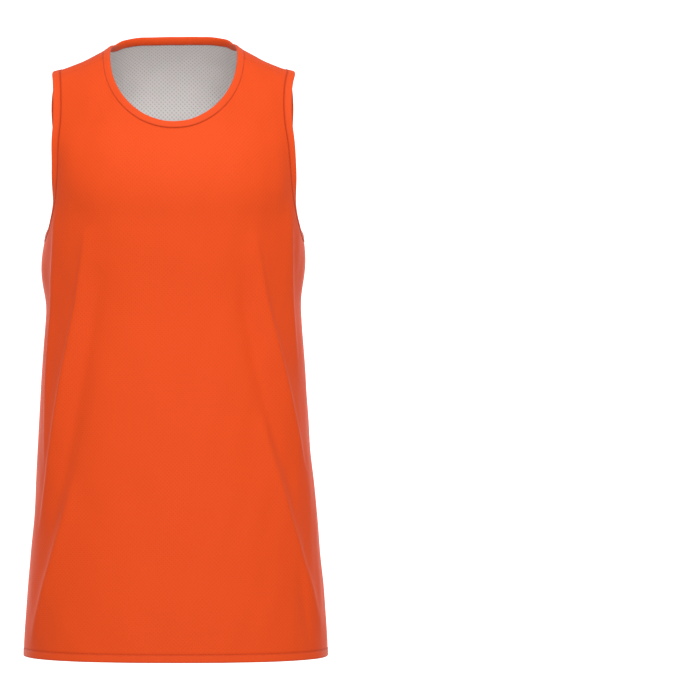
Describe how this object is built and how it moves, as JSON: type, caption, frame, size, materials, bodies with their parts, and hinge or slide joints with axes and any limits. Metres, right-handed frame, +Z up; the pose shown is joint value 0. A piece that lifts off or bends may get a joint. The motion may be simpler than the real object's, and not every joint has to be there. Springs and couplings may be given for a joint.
{
  "type": "sleeveless basketball jersey",
  "caption": "Reversible sleeveless basketball jersey, filled out with no wearer, with a round neck and bound edges.",
  "frame": {"origin": "centre of the neck, level with the high points of the shoulders, where the wearer holds the jersey up", "axes": "+Z up, the front faces -Y, the wearer's left side is at +X"},
  "size_m": [0.387, 0.2548, 0.7913],
  "materials": {
    "orange_knit": "matte polyester mesh knit with small dimples",
    "white_mesh": "matte polyester mesh knit with clear dimples",
    "orange_binding": "smooth folded strip of knit, stitched at its seam",
    "grey_label": "plain satin-woven label, bare"
  },
  "bodies": {
    "root": {"outer_front": "orange_knit", "outer_back": "orange_knit", "inner_front": "white_mesh", "inner_back": "white_mesh", "neck_binding": "orange_binding", "armhole_binding_left": "orange_binding", "armhole_binding_right": "orange_binding", "hem_binding": "orange_binding", "side_label": "grey_label"}
  },
  "joints": []
}
